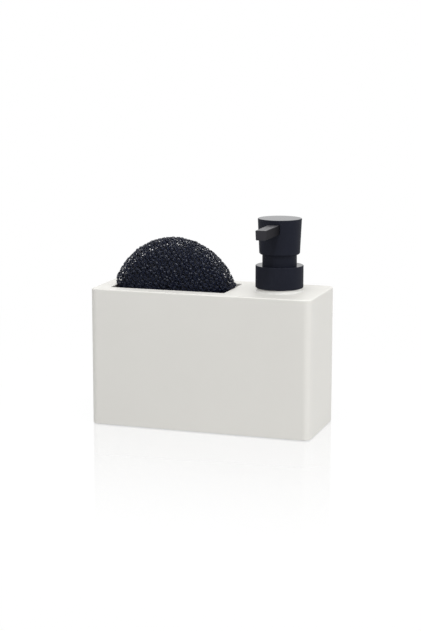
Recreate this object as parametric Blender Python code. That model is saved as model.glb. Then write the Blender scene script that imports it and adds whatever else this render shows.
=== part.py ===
"""Soap dispenser with a compartment for a round scourer. Metres, +Z up.

The origin is the middle of the base, on the surface that the dispenser stands on. +X runs
along the box towards the pump, and the spout points along -Y. The pump's pieces hang from an
empty on the deck, at the pump's axis, so their heights count from the deck.
"""

import math

import bmesh
import bpy
from mathutils import Matrix, Vector

# Clearances and fineness
SEAT_GAP = 0.0003
FIT_GAP = 0.00015
RUNNING_GAP = 0.0001
OVERRUN = 0.002
MERGE_DISTANCE = 0.000001
SMOOTH_ANGLE = math.radians(32)
ROUND_STEPS = 56
INNER_STEPS = 32
SMALL_STEPS = 16
CORNER_STEPS = 5
EDGE_STEPS = 3

# Housing
BODY_LENGTH = 0.150
BODY_DEPTH = 0.0615
BODY_HEIGHT = 0.0915
BODY_CORNER_RADIUS = 0.0045
BODY_WALL = 0.0032
DECK_THICKNESS = 0.0034
DECK_EDGE_ROUND = 0.0008
RIM_EDGE_ROUND = 0.0004
RIM_HEIGHT = 0.0005

# Compartment
COMPARTMENT_RIM = 0.0104
PUMP_BAY_LENGTH = 0.0606
COMPARTMENT_FLOOR_HEIGHT = 0.0465
COMPARTMENT_FLOOR_THICKNESS = 0.003
COMPARTMENT_WALL = 0.0034
COMPARTMENT_CORNER_RADIUS = 0.0012
COMPARTMENT_FLOOR_ROUND = 0.0011
COMPARTMENT_MOUTH_ROUND = 0.0003

# Ribs and boss under the deck
RIB_THICKNESS = 0.0016
RIB_COUNT = 3
RIB_DEPTH = 0.0035
BOSS_WALL = 0.003
BOSS_DEPTH = 0.006

# Base
PAD_THICKNESS = 0.0015
PAD_INSET = 0.006
PAD_CORNER_RADIUS = 0.004
PLATE_THICKNESS = 0.0024
PLATE_REBATE = 0.0016
PLUG_HEIGHT = 0.005
PLUG_WALL = 0.0016
SEAL_THICKNESS = 0.0008

# Pump's place and neck
PUMP_FROM_END = 0.0292
NECK_FLANGE_THICKNESS = 0.0019
NECK_FLANGE_OVERHANG = 0.0019
NECK_WALL = 0.0024
NECK_SPIGOT_LENGTH = 0.009
GASKET_THICKNESS = 0.001

# Collar and its nut
COLLAR_DIAMETER = 0.0313
COLLAR_HEIGHT = 0.0146
COLLAR_WALL = 0.0012
COLLAR_TOP_WALL = 0.002
COLLAR_CHAMFER = 0.0003
COLUMN_DIAMETER = 0.0225
COLUMN_WALL = 0.0015
NUT_WALL = 0.0012
NUT_WEB = 0.0014
THREAD_CLEARANCE = 0.00025

# Cylinder, guide and valves
FLANGE_THICKNESS = 0.0014
FLANGE_CLEARANCE = 0.0006
CYLINDER_BORE = 0.0128
CYLINDER_WALL = 0.0012
GUIDE_PLUG_DEPTH = 0.0065
GUIDE_FLANGE_OVERHANG = 0.001
GUIDE_FLANGE_THICKNESS = 0.0014
GUIDE_WALL = 0.0014
BALL_DIAMETER = 0.0044
BALL_LIFT = 0.0012
BALL_SIDE_GAP = 0.0008
BALL_SEAT_GAP = 0.0001
INLET_BORE = 0.0026
CAGE_THICKNESS = 0.0012
CAGE_BORE = 0.003
CAGE_HOLE_DIAMETER = 0.0014
CAGE_HOLE_COUNT = 4
NIPPLE_LENGTH = 0.008
NIPPLE_WALL = 0.0012
NIPPLE_FLOOR = 0.0012
DIP_TUBE_DIAMETER = 0.0052
DIP_TUBE_WALL = 0.0007
DIP_TUBE_STANDOFF = 0.0035
DIP_TUBE_SLANT = math.radians(35)
VENT_DIAMETER = 0.0012

# Stem, piston and spring
STEM_DIAMETER = 0.0072
STEM_DUCT = 0.0024
STEM_FLANGE_OVERHANG = 0.0015
STEM_FLANGE_THICKNESS = 0.0014
STEM_FOOT_LENGTH = 0.005
STEM_FOOT_DIAMETER = 0.0066
OUTLET_BALL_DIAMETER = 0.003
OUTLET_BALL_LIFT = 0.001
OUTLET_SIDE_GAP = 0.0006
PISTON_HEIGHT = 0.007
PISTON_LIP_HEIGHT = 0.0014
PISTON_WAIST_GAP = 0.0009
PISTON_REST_GAP = 0.0004
SPRING_WIRE = 0.0009
SPRING_SIDE_GAP = 0.0007
SPRING_LENGTH = 0.022
SPRING_TURNS = 8
SPRING_TURN_POINTS = 16
SPRING_END_PITCH = 0.0014

# Head and spout
HEAD_STANDOFF = 0.0074
HEAD_HEIGHT = 0.0231
HEAD_BOTTOM_DIAMETER = 0.0265
HEAD_TOP_DIAMETER = 0.0286
HEAD_FOOT_CHAMFER = 0.0006
HEAD_TOP_CHAMFER = 0.0003
HEAD_TOP_WALL = 0.0018
COLUMN_ENGAGEMENT = 0.0032
STROKE_END_GAP = 0.0004
CORE_HEIGHT = 0.0086
SOCKET_LENGTH = 0.008
SOCKET_WALL = 0.0016
SOCKET_STEM_DEPTH = 0.003
STOP_PIN_DIAMETER = 0.0016
SPOUT_WIDTH = 0.0077
SPOUT_TIP_WIDTH = 0.007
SPOUT_DRAFT = 0.0006
SPOUT_HEIGHT = 0.0062
SPOUT_BELOW_TOP = 0.003
SPOUT_REACH = 0.043
SPOUT_ROOT = 0.0052
SPOUT_EDGE_CHAMFER = 0.0003
SPOUT_BORE = 0.003
SPOUT_TIP_WALL = 0.0026
OUTLET_BORE = 0.0026

# Scourer
SCOURER_HEIGHT = 0.0784
SCOURER_SAG = 0.0016
SCOURER_OVERSIZE = 0.0038
SCOURER_SIDE_GAP = 0.00185
SCOURER_FULLNESS = 3
SCOURER_LEAN = 0.0014
LEAN_HEIGHT = 0.003
BULGE_SLOPE = 1.8
BULGE_STEP = 0.0012
SCOURER_LEVELS = 20
SCOURER_STEPS = 18

# Places worked out from the sizes above, in the dispenser's own frame
COMPARTMENT_LENGTH = BODY_LENGTH - COMPARTMENT_RIM - PUMP_BAY_LENGTH
COMPARTMENT_DEPTH = BODY_DEPTH - 2 * COMPARTMENT_RIM
COMPARTMENT_LEFT = COMPARTMENT_RIM - BODY_LENGTH / 2
COMPARTMENT_RIGHT = COMPARTMENT_LEFT + COMPARTMENT_LENGTH
COMPARTMENT_X = (COMPARTMENT_LEFT + COMPARTMENT_RIGHT) / 2
DECK_UNDERSIDE = BODY_HEIGHT - DECK_THICKNESS
TUB_BOTTOM = COMPARTMENT_FLOOR_HEIGHT - COMPARTMENT_FLOOR_THICKNESS
PLATE_BOTTOM = PAD_THICKNESS + SEAT_GAP
PLATE_TOP = PLATE_BOTTOM + PLATE_THICKNESS
SEAL_BOTTOM = PLATE_TOP + SEAT_GAP
SEAL_TOP = SEAL_BOTTOM + SEAL_THICKNESS
LEDGE_HEIGHT = SEAL_TOP + SEAT_GAP
PUMP_X = BODY_LENGTH / 2 - PUMP_FROM_END

# Scourer's size, wider than the compartment that squeezes it
SCOURER_WIDTH = COMPARTMENT_LENGTH + SCOURER_OVERSIZE
SCOURER_THICKNESS = COMPARTMENT_DEPTH - 2 * SCOURER_SIDE_GAP

# Heights in the compartment, counted from its floor
COMPARTMENT_MOUTH = BODY_HEIGHT - COMPARTMENT_FLOOR_HEIGHT
SCOURER_CENTRE = SCOURER_HEIGHT / 2 - SCOURER_SAG
SCOURER_TOP = SCOURER_HEIGHT - SCOURER_SAG

# Heights in the pump, counted from the deck
FLANGE_SEAT = SEAT_GAP
NECK_FLANGE_TOP = FLANGE_SEAT + NECK_FLANGE_THICKNESS
COLLAR_BOTTOM = NECK_FLANGE_TOP + SEAT_GAP
COLLAR_TOP = COLLAR_BOTTOM + COLLAR_HEIGHT
COLLAR_ROOF = COLLAR_TOP - COLLAR_TOP_WALL
NUT_TOP = COLLAR_ROOF - SEAT_GAP
NUT_ROOF = NUT_TOP - NUT_WEB
FLANGE_TOP = NUT_ROOF - SEAT_GAP
FLANGE_BOTTOM = FLANGE_TOP - FLANGE_THICKNESS
GASKET_TOP = FLANGE_BOTTOM - SEAT_GAP
GASKET_BOTTOM = GASKET_TOP - GASKET_THICKNESS
NECK_TOP = GASKET_BOTTOM - SEAT_GAP
HEAD_BOTTOM = COLLAR_TOP + HEAD_STANDOFF
HEAD_TOP = HEAD_BOTTOM + HEAD_HEIGHT
STROKE = HEAD_STANDOFF - STROKE_END_GAP
COLUMN_TOP = HEAD_BOTTOM + COLUMN_ENGAGEMENT
HEAD_ROOF = HEAD_TOP - HEAD_TOP_WALL
CORE_TOP = HEAD_ROOF - SEAT_GAP
CORE_BOTTOM = CORE_TOP - CORE_HEIGHT
SOCKET_BOTTOM = CORE_BOTTOM - SOCKET_LENGTH
STEM_TOP = CORE_BOTTOM + SOCKET_STEM_DEPTH
GUIDE_TOP = SOCKET_BOTTOM - STROKE - STROKE_END_GAP
GUIDE_PLUG_BOTTOM = FLANGE_TOP - GUIDE_PLUG_DEPTH
PISTON_TOP = GUIDE_PLUG_BOTTOM - PISTON_REST_GAP
PISTON_BOTTOM = PISTON_TOP - PISTON_HEIGHT
STEM_FLANGE_TOP = PISTON_BOTTOM - SEAT_GAP
STEM_FLANGE_BOTTOM = STEM_FLANGE_TOP - STEM_FLANGE_THICKNESS
STEM_BOTTOM = STEM_FLANGE_BOTTOM - STEM_FOOT_LENGTH
SPRING_TOP = STEM_FLANGE_BOTTOM - SEAT_GAP
SPRING_BOTTOM = SPRING_TOP - SPRING_LENGTH
CAGE_TOP = SPRING_BOTTOM - SEAT_GAP
CAGE_BOTTOM = CAGE_TOP - CAGE_THICKNESS
CAGE_SHOULDER = CAGE_BOTTOM - SEAT_GAP
INLET_BALL_Z = CAGE_BOTTOM - BALL_LIFT - BALL_SEAT_GAP - BALL_DIAMETER / 2
SPOUT_TOP = HEAD_TOP - SPOUT_BELOW_TOP
SPOUT_BOTTOM = SPOUT_TOP - SPOUT_HEIGHT
SPOUT_Z = (SPOUT_TOP + SPOUT_BOTTOM) / 2

# Radii in the pump
COLLAR_RADIUS = COLLAR_DIAMETER / 2
COLLAR_CAVITY_RADIUS = COLLAR_RADIUS - COLLAR_WALL
COLUMN_RADIUS = COLUMN_DIAMETER / 2
COLUMN_BORE_RADIUS = COLUMN_RADIUS - COLUMN_WALL
NUT_RADIUS = COLLAR_CAVITY_RADIUS - FIT_GAP
NUT_BORE_RADIUS = NUT_RADIUS - NUT_WALL
NECK_RADIUS = NUT_BORE_RADIUS - THREAD_CLEARANCE
NECK_BORE_RADIUS = NECK_RADIUS - NECK_WALL
NECK_FLANGE_RADIUS = NECK_RADIUS + NECK_FLANGE_OVERHANG
FLANGE_RADIUS = NUT_BORE_RADIUS - FLANGE_CLEARANCE
CYLINDER_BORE_RADIUS = CYLINDER_BORE / 2
CYLINDER_RADIUS = CYLINDER_BORE_RADIUS + CYLINDER_WALL
STEM_RADIUS = STEM_DIAMETER / 2
STEM_DUCT_RADIUS = STEM_DUCT / 2
GUIDE_BORE_RADIUS = STEM_RADIUS + RUNNING_GAP
GUIDE_FLANGE_RADIUS = CYLINDER_RADIUS + GUIDE_FLANGE_OVERHANG
BALL_RADIUS = BALL_DIAMETER / 2
BALL_CHAMBER_RADIUS = BALL_RADIUS + BALL_SIDE_GAP
OUTLET_BALL_RADIUS = OUTLET_BALL_DIAMETER / 2
OUTLET_CHAMBER_RADIUS = OUTLET_BALL_RADIUS + OUTLET_SIDE_GAP
DIP_TUBE_RADIUS = DIP_TUBE_DIAMETER / 2
NIPPLE_BORE_RADIUS = DIP_TUBE_RADIUS + FIT_GAP
SPRING_RADIUS = CYLINDER_BORE_RADIUS - SPRING_SIDE_GAP - SPRING_WIRE / 2
HEAD_BORE_RADIUS = COLUMN_RADIUS + RUNNING_GAP


def seat_height(ball_z, ball_radius, bore_radius):
    """Where a 45 degree seat meets its bore, under a ball that lies in it."""
    return ball_z + bore_radius - math.sqrt(2) * (ball_radius + BALL_SEAT_GAP)


INLET_SEAT = seat_height(INLET_BALL_Z, BALL_RADIUS, INLET_BORE / 2)
INLET_SEAT_TOP = INLET_SEAT + BALL_CHAMBER_RADIUS - INLET_BORE / 2
NIPPLE_TOP = INLET_SEAT - NIPPLE_FLOOR
NIPPLE_BOTTOM = NIPPLE_TOP - NIPPLE_LENGTH
STOP_PIN_BOTTOM = STEM_TOP
OUTLET_BALL_Z = STOP_PIN_BOTTOM - OUTLET_BALL_LIFT - BALL_SEAT_GAP - OUTLET_BALL_RADIUS
OUTLET_SEAT = seat_height(OUTLET_BALL_Z, OUTLET_BALL_RADIUS, STEM_DUCT_RADIUS)
OUTLET_SEAT_TOP = OUTLET_SEAT + OUTLET_CHAMBER_RADIUS - STEM_DUCT_RADIUS


def clear_scene():
    for old in list(bpy.data.objects):
        bpy.data.objects.remove(old, do_unlink=True)


def make_material(name, colour, roughness, metallic=0.0):
    material = bpy.data.materials.new(name)
    material.use_nodes = True
    shader = material.node_tree.nodes["Principled BSDF"]
    shader.inputs["Base Color"].default_value = (*colour, 1.0)
    shader.inputs["Roughness"].default_value = roughness
    shader.inputs["Metallic"].default_value = metallic
    return material


def add_object(name, data, material=None, parent=None, location=(0, 0, 0)):
    piece = bpy.data.objects.new(name, data)
    piece.location = location
    piece.parent = parent
    if material:
        data.materials.append(material)
    bpy.context.scene.collection.objects.link(piece)
    return piece


def add_mesh(name, shape, material=None, parent=None, location=(0, 0, 0)):
    """Turns a bmesh into an object, with its faces out and its round faces smooth."""
    bmesh.ops.recalc_face_normals(shape, faces=shape.faces)
    mesh = bpy.data.meshes.new(name)
    shape.to_mesh(mesh)
    shape.free()
    mesh.shade_smooth()
    mesh.set_sharp_from_angle(angle=SMOOTH_ANGLE)
    return add_object(name, mesh, material, parent, location)


def cut(piece, *cutters, operation="DIFFERENCE"):
    for cutter in cutters:
        boolean = piece.modifiers.new(cutter.name, "BOOLEAN")
        boolean.operation = operation
        boolean.object = cutter
        cutter.hide_render = True
        cutter.display_type = "WIRE"


def round_rectangle(length, depth, radius, inset=0, centre_x=0):
    """A rectangle with round corners, seen from above, drawn in from its edges by an inset."""
    corner_radius = max(radius - inset, MERGE_DISTANCE)
    half_length = length / 2 - inset - corner_radius
    half_depth = depth / 2 - inset - corner_radius
    outline = []
    for quarter, (side_x, side_y) in enumerate(((1, 1), (-1, 1), (-1, -1), (1, -1))):
        for step in range(CORNER_STEPS + 1):
            angle = math.pi / 2 * (quarter + step / CORNER_STEPS)
            x = centre_x + side_x * half_length + corner_radius * math.cos(angle)
            y = side_y * half_depth + corner_radius * math.sin(angle)
            outline.append((x, y))
    return outline


def body_outline(inset=0):
    return round_rectangle(BODY_LENGTH, BODY_DEPTH, BODY_CORNER_RADIUS, inset)


def compartment_outline(inset=0):
    return round_rectangle(
        COMPARTMENT_LENGTH, COMPARTMENT_DEPTH, COMPARTMENT_CORNER_RADIUS, inset, COMPARTMENT_X
    )


def loft(loops):
    """A closed body through loops of points of equal count, with flat ends."""
    shape = bmesh.new()
    rings = [[shape.verts.new(point) for point in loop] for loop in loops]
    for lower, upper in zip(rings, rings[1:]):
        for index in range(len(lower)):
            after = (index + 1) % len(lower)
            shape.faces.new((lower[index], lower[after], upper[after], upper[index]))
    shape.faces.new(rings[0])
    shape.faces.new(rings[-1])
    return shape


def at_height(outline, height):
    return [(x, y, height) for x, y in outline]


def slab(outline, bottom, top):
    return loft([at_height(outline, bottom), at_height(outline, top)])


def edge_round(radius):
    """Steps up a quarter round: how far in from the side, and how far below the top."""
    steps = []
    for step in range(EDGE_STEPS + 1):
        angle = math.pi / 2 * step / EDGE_STEPS
        steps.append((radius * (1 - math.cos(angle)), radius * (1 - math.sin(angle))))
    return steps


def turn(profile, steps=INNER_STEPS):
    """Spins a profile about Z. One that starts off the axis closes on itself."""
    shape = bmesh.new()
    corners = [shape.verts.new((radius, 0, height)) for radius, height in profile]
    edges = [shape.edges.new(pair) for pair in zip(corners, corners[1:])]
    if profile[0][0] > 0:
        edges.append(shape.edges.new((corners[-1], corners[0])))
    bmesh.ops.spin(
        shape,
        geom=corners + edges,
        axis=(0, 0, 1),
        cent=(0, 0, 0),
        angle=2 * math.pi,
        steps=steps,
        use_merge=True,
    )
    bmesh.ops.remove_doubles(shape, verts=shape.verts, dist=MERGE_DISTANCE)
    return shape


def rod(start, end, radius, steps=SMALL_STEPS):
    """A plain cylinder between two points, for drilling."""
    along = Vector(end) - Vector(start)
    shape = turn([(0, along.length), (radius, along.length), (radius, 0), (0, 0)], steps)
    tilt = along.to_track_quat("Z", "Y").to_matrix().to_4x4()
    bmesh.ops.transform(shape, matrix=Matrix.Translation(start) @ tilt, verts=shape.verts)
    return shape


def ball(radius, steps=SMALL_STEPS):
    shape = bmesh.new()
    bmesh.ops.create_uvsphere(shape, u_segments=steps, v_segments=steps // 2, radius=radius)
    return shape


def compartment_cutter():
    """The compartment's inside, with a round foot and a slightly eased mouth."""
    loops = []
    for inset, drop in reversed(edge_round(COMPARTMENT_FLOOR_ROUND)):
        outline = compartment_outline(inset)
        loops.append(at_height(outline, COMPARTMENT_FLOOR_HEIGHT + drop))
    for inset, drop in edge_round(COMPARTMENT_MOUTH_ROUND):
        outline = compartment_outline(-inset)
        loops.append(at_height(outline, BODY_HEIGHT - drop))
    loops.append(at_height(compartment_outline(-COMPARTMENT_MOUTH_ROUND), BODY_HEIGHT + OVERRUN))
    return add_mesh("compartment_cutter", loft(loops))


def reservoir_cutter():
    """The soap's space: the box's inside less the compartment, its ribs and the neck's boss."""
    cutter = add_mesh(
        "reservoir_cutter", slab(body_outline(BODY_WALL), -OVERRUN, DECK_UNDERSIDE)
    )
    top = BODY_HEIGHT + OVERRUN
    kept = [add_mesh("tub_keeper", slab(compartment_outline(-COMPARTMENT_WALL), TUB_BOTTOM, top))]
    rib_bottom = TUB_BOTTOM - RIB_DEPTH
    for number in range(RIB_COUNT):
        x = COMPARTMENT_LEFT + COMPARTMENT_LENGTH * (number + 1) / (RIB_COUNT + 1)
        rib = round_rectangle(RIB_THICKNESS, BODY_DEPTH, 0, 0, x)
        kept.append(add_mesh(f"cross_rib_keeper_{number + 1}", slab(rib, rib_bottom, top)))
    tub_right = COMPARTMENT_RIGHT + COMPARTMENT_WALL / 2
    spine_length = tub_right + BODY_LENGTH / 2
    spine = round_rectangle(spine_length, RIB_THICKNESS, 0, 0, tub_right - spine_length / 2)
    kept.append(add_mesh("spine_rib_keeper", slab(spine, rib_bottom, top)))
    boss = rod(
        (PUMP_X, 0, DECK_UNDERSIDE - BOSS_DEPTH),
        (PUMP_X, 0, top),
        NECK_RADIUS + FIT_GAP + BOSS_WALL,
        ROUND_STEPS,
    )
    kept.append(add_mesh("boss_keeper", boss))
    web_bottom = DECK_UNDERSIDE - RIB_DEPTH
    web = round_rectangle(RIB_THICKNESS, BODY_DEPTH, 0, 0, PUMP_X)
    kept.append(add_mesh("boss_web_keeper", slab(web, web_bottom, top)))
    brace_length = BODY_LENGTH / 2 - tub_right
    brace = round_rectangle(brace_length, RIB_THICKNESS, 0, 0, tub_right + brace_length / 2)
    kept.append(add_mesh("boss_brace_keeper", slab(brace, web_bottom, top)))
    cut(cutter, *kept)
    return cutter


def make_housing(material):
    loops = []
    for inset, drop in reversed(edge_round(RIM_EDGE_ROUND)):
        loops.append(at_height(body_outline(inset), RIM_HEIGHT + drop))
    for inset, drop in edge_round(DECK_EDGE_ROUND):
        loops.append(at_height(body_outline(inset), BODY_HEIGHT - drop))
    housing = add_mesh("housing", loft(loops), material)
    rebate = add_mesh("rebate_cutter", slab(body_outline(PLATE_REBATE), -OVERRUN, LEDGE_HEIGHT))
    neck_hole = rod(
        (PUMP_X, 0, DECK_UNDERSIDE - BOSS_DEPTH - OVERRUN),
        (PUMP_X, 0, BODY_HEIGHT + OVERRUN),
        NECK_RADIUS + FIT_GAP,
        ROUND_STEPS,
    )
    neck_cutter = add_mesh("neck_hole_cutter", neck_hole)
    cut(housing, reservoir_cutter(), compartment_cutter(), rebate, neck_cutter)
    return housing


def make_base_plate(material):
    """The plate in the rebate, with a plug rim that stands up inside the walls."""
    plate = body_outline(PLATE_REBATE + FIT_GAP)
    plug = body_outline(BODY_WALL + FIT_GAP)
    plug_top = PLATE_TOP + PLUG_HEIGHT
    shape = loft(
        [
            at_height(plate, PLATE_BOTTOM),
            at_height(plate, PLATE_TOP),
            at_height(plug, PLATE_TOP),
            at_height(plug, plug_top),
        ]
    )
    base_plate = add_mesh("base_plate", shape, material)
    pocket = body_outline(BODY_WALL + FIT_GAP + PLUG_WALL)
    pocket_cutter = add_mesh("plug_cutter", slab(pocket, PLATE_TOP, plug_top + OVERRUN))
    cut(base_plate, pocket_cutter)
    return base_plate


def make_base_seal(material):
    seal = add_mesh(
        "base_seal", slab(body_outline(PLATE_REBATE + FIT_GAP), SEAL_BOTTOM, SEAL_TOP), material
    )
    hole = slab(body_outline(BODY_WALL), SEAL_BOTTOM - OVERRUN, SEAL_TOP + OVERRUN)
    cut(seal, add_mesh("seal_cutter", hole))
    return seal


def make_base_pad(material):
    outline = round_rectangle(
        BODY_LENGTH - 2 * PAD_INSET, BODY_DEPTH - 2 * PAD_INSET, PAD_CORNER_RADIUS
    )
    return add_mesh("base_pad", slab(outline, 0, PAD_THICKNESS), material)


def make_neck_insert(material, deck):
    """The neck that the nut screws onto: its flange lies on the deck, its spigot goes through."""
    profile = [
        (NECK_BORE_RADIUS, NECK_TOP),
        (NECK_RADIUS, NECK_TOP),
        (NECK_RADIUS, NECK_FLANGE_TOP),
        (NECK_FLANGE_RADIUS, NECK_FLANGE_TOP),
        (NECK_FLANGE_RADIUS, FLANGE_SEAT),
        (NECK_RADIUS, FLANGE_SEAT),
        (NECK_RADIUS, -NECK_SPIGOT_LENGTH),
        (NECK_BORE_RADIUS, -NECK_SPIGOT_LENGTH),
    ]
    return add_mesh("neck_insert", turn(profile, ROUND_STEPS), material, deck)


def make_neck_gasket(material, deck):
    inner = CYLINDER_RADIUS + FIT_GAP
    profile = [
        (inner, GASKET_TOP),
        (FLANGE_RADIUS, GASKET_TOP),
        (FLANGE_RADIUS, GASKET_BOTTOM),
        (inner, GASKET_BOTTOM),
    ]
    return add_mesh("neck_gasket", turn(profile), material, deck)


def make_collar(material, deck):
    """One turned piece: a cup over the nut, with the column that the head slides on."""
    profile = [
        (COLUMN_BORE_RADIUS, COLUMN_TOP),
        (COLUMN_RADIUS - COLLAR_CHAMFER, COLUMN_TOP),
        (COLUMN_RADIUS, COLUMN_TOP - COLLAR_CHAMFER),
        (COLUMN_RADIUS, COLLAR_TOP),
        (COLLAR_RADIUS - COLLAR_CHAMFER, COLLAR_TOP),
        (COLLAR_RADIUS, COLLAR_TOP - COLLAR_CHAMFER),
        (COLLAR_RADIUS, COLLAR_BOTTOM + COLLAR_CHAMFER),
        (COLLAR_RADIUS - COLLAR_CHAMFER, COLLAR_BOTTOM),
        (COLLAR_CAVITY_RADIUS, COLLAR_BOTTOM),
        (COLLAR_CAVITY_RADIUS, COLLAR_ROOF),
        (COLUMN_BORE_RADIUS, COLLAR_ROOF),
    ]
    return add_mesh("collar", turn(profile, ROUND_STEPS), material, deck)


def make_closure_nut(material, deck):
    hole = GUIDE_FLANGE_RADIUS + FIT_GAP
    nut_bottom = COLLAR_BOTTOM + SEAT_GAP
    profile = [
        (hole, NUT_TOP),
        (NUT_RADIUS, NUT_TOP),
        (NUT_RADIUS, nut_bottom),
        (NUT_BORE_RADIUS, nut_bottom),
        (NUT_BORE_RADIUS, NUT_ROOF),
        (hole, NUT_ROOF),
    ]
    return add_mesh("closure_nut", turn(profile, ROUND_STEPS), material, deck)


def make_pump_cylinder(material, deck):
    """Flange, bore, cage shoulder, ball chamber with its seat, and the nipple for the tube."""
    inlet = INLET_BORE / 2
    nipple = NIPPLE_BORE_RADIUS + NIPPLE_WALL
    profile = [
        (CYLINDER_BORE_RADIUS, FLANGE_TOP),
        (FLANGE_RADIUS, FLANGE_TOP),
        (FLANGE_RADIUS, FLANGE_BOTTOM),
        (CYLINDER_RADIUS, FLANGE_BOTTOM),
        (CYLINDER_RADIUS, CAGE_SHOULDER),
        (nipple, NIPPLE_TOP),
        (nipple, NIPPLE_BOTTOM),
        (NIPPLE_BORE_RADIUS, NIPPLE_BOTTOM),
        (NIPPLE_BORE_RADIUS, NIPPLE_TOP),
        (inlet, NIPPLE_TOP),
        (inlet, INLET_SEAT),
        (BALL_CHAMBER_RADIUS, INLET_SEAT_TOP),
        (BALL_CHAMBER_RADIUS, CAGE_SHOULDER),
        (CYLINDER_BORE_RADIUS, CAGE_SHOULDER),
    ]
    cylinder = add_mesh("pump_cylinder", turn(profile), material, deck)
    vent_z = FLANGE_BOTTOM - GASKET_THICKNESS - VENT_DIAMETER - SEAT_GAP
    vent = rod(
        (CYLINDER_BORE_RADIUS - CYLINDER_WALL, 0, vent_z),
        (CYLINDER_RADIUS + OVERRUN, 0, vent_z),
        VENT_DIAMETER / 2,
    )
    cut(cylinder, add_mesh("vent_cutter", vent, None, deck))
    return cylinder


def make_stem_guide(material, deck):
    plug = CYLINDER_BORE_RADIUS - FIT_GAP
    tube = GUIDE_BORE_RADIUS + GUIDE_WALL
    flange_bottom = FLANGE_TOP + SEAT_GAP
    flange_top = flange_bottom + GUIDE_FLANGE_THICKNESS
    profile = [
        (GUIDE_BORE_RADIUS, GUIDE_TOP),
        (tube, GUIDE_TOP),
        (tube, flange_top),
        (GUIDE_FLANGE_RADIUS, flange_top),
        (GUIDE_FLANGE_RADIUS, flange_bottom),
        (plug, flange_bottom),
        (plug, GUIDE_PLUG_BOTTOM),
        (GUIDE_BORE_RADIUS, GUIDE_PLUG_BOTTOM),
    ]
    return add_mesh("stem_guide", turn(profile), material, deck)


def make_stem(material, deck):
    """Hollow stem: a chamber with the outlet ball's seat on top, a flange and a foot below."""
    flange = STEM_RADIUS + STEM_FLANGE_OVERHANG
    foot = STEM_FOOT_DIAMETER / 2
    profile = [
        (OUTLET_CHAMBER_RADIUS, STEM_TOP),
        (STEM_RADIUS, STEM_TOP),
        (STEM_RADIUS, STEM_FLANGE_TOP),
        (flange, STEM_FLANGE_TOP),
        (flange, STEM_FLANGE_BOTTOM),
        (foot, STEM_FLANGE_BOTTOM),
        (foot, STEM_BOTTOM),
        (STEM_DUCT_RADIUS, STEM_BOTTOM),
        (STEM_DUCT_RADIUS, OUTLET_SEAT),
        (OUTLET_CHAMBER_RADIUS, OUTLET_SEAT_TOP),
    ]
    return add_mesh("stem", turn(profile), material, deck)


def make_piston(material, deck):
    """A sleeve with a lip at each end, which run on the cylinder's bore."""
    inner = STEM_RADIUS + FIT_GAP
    lip = CYLINDER_BORE_RADIUS - RUNNING_GAP
    waist = lip - PISTON_WAIST_GAP
    upper = PISTON_TOP - PISTON_LIP_HEIGHT
    lower = PISTON_BOTTOM + PISTON_LIP_HEIGHT
    profile = [
        (inner, PISTON_TOP),
        (lip, PISTON_TOP),
        (waist, upper),
        (waist, lower),
        (lip, PISTON_BOTTOM),
        (inner, PISTON_BOTTOM),
    ]
    return add_mesh("piston", turn(profile), material, deck)


def spring_height(share, span):
    """Height along the coil, whose end turns lie closer than the rest."""
    turns = share * SPRING_TURNS
    open_turns = SPRING_TURNS - 2
    open_pitch = (span - 2 * SPRING_END_PITCH) / open_turns
    low = min(turns, 1) * SPRING_END_PITCH
    middle = min(max(turns - 1, 0), open_turns) * open_pitch
    high = max(turns - 1 - open_turns, 0) * SPRING_END_PITCH
    return low + middle + high


def make_return_spring(material, deck):
    curve = bpy.data.curves.new("return_spring", "CURVE")
    curve.dimensions = "3D"
    curve.bevel_depth = SPRING_WIRE / 2
    curve.bevel_resolution = 1
    curve.use_fill_caps = True
    count = SPRING_TURNS * SPRING_TURN_POINTS
    span = SPRING_LENGTH - SPRING_WIRE - SEAT_GAP
    coil = curve.splines.new("POLY")
    coil.points.add(count)
    for index in range(count + 1):
        share = index / count
        angle = 2 * math.pi * SPRING_TURNS * share
        x = SPRING_RADIUS * math.cos(angle)
        y = SPRING_RADIUS * math.sin(angle)
        z = SPRING_BOTTOM + SPRING_WIRE / 2 + spring_height(share, span)
        coil.points[index].co = (x, y, z, 1)
    return add_object("return_spring", curve, material, deck)


def make_ball_cage(material, deck):
    """The washer that keeps the ball in and carries the spring, with holes for the soap."""
    outer = CYLINDER_BORE_RADIUS - FIT_GAP
    bore = CAGE_BORE / 2
    profile = [(bore, CAGE_TOP), (outer, CAGE_TOP), (outer, CAGE_BOTTOM), (bore, CAGE_BOTTOM)]
    cage = add_mesh("ball_cage", turn(profile), material, deck)
    hole_ring = (bore + BALL_CHAMBER_RADIUS) / 2
    for number in range(CAGE_HOLE_COUNT):
        angle = 2 * math.pi * (number + 1 / 2) / CAGE_HOLE_COUNT
        x = hole_ring * math.cos(angle)
        y = hole_ring * math.sin(angle)
        hole = rod(
            (x, y, CAGE_BOTTOM - OVERRUN), (x, y, CAGE_TOP + OVERRUN), CAGE_HOLE_DIAMETER / 2
        )
        cut(cage, add_mesh(f"cage_hole_cutter_{number + 1}", hole, None, deck))
    return cage


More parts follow.
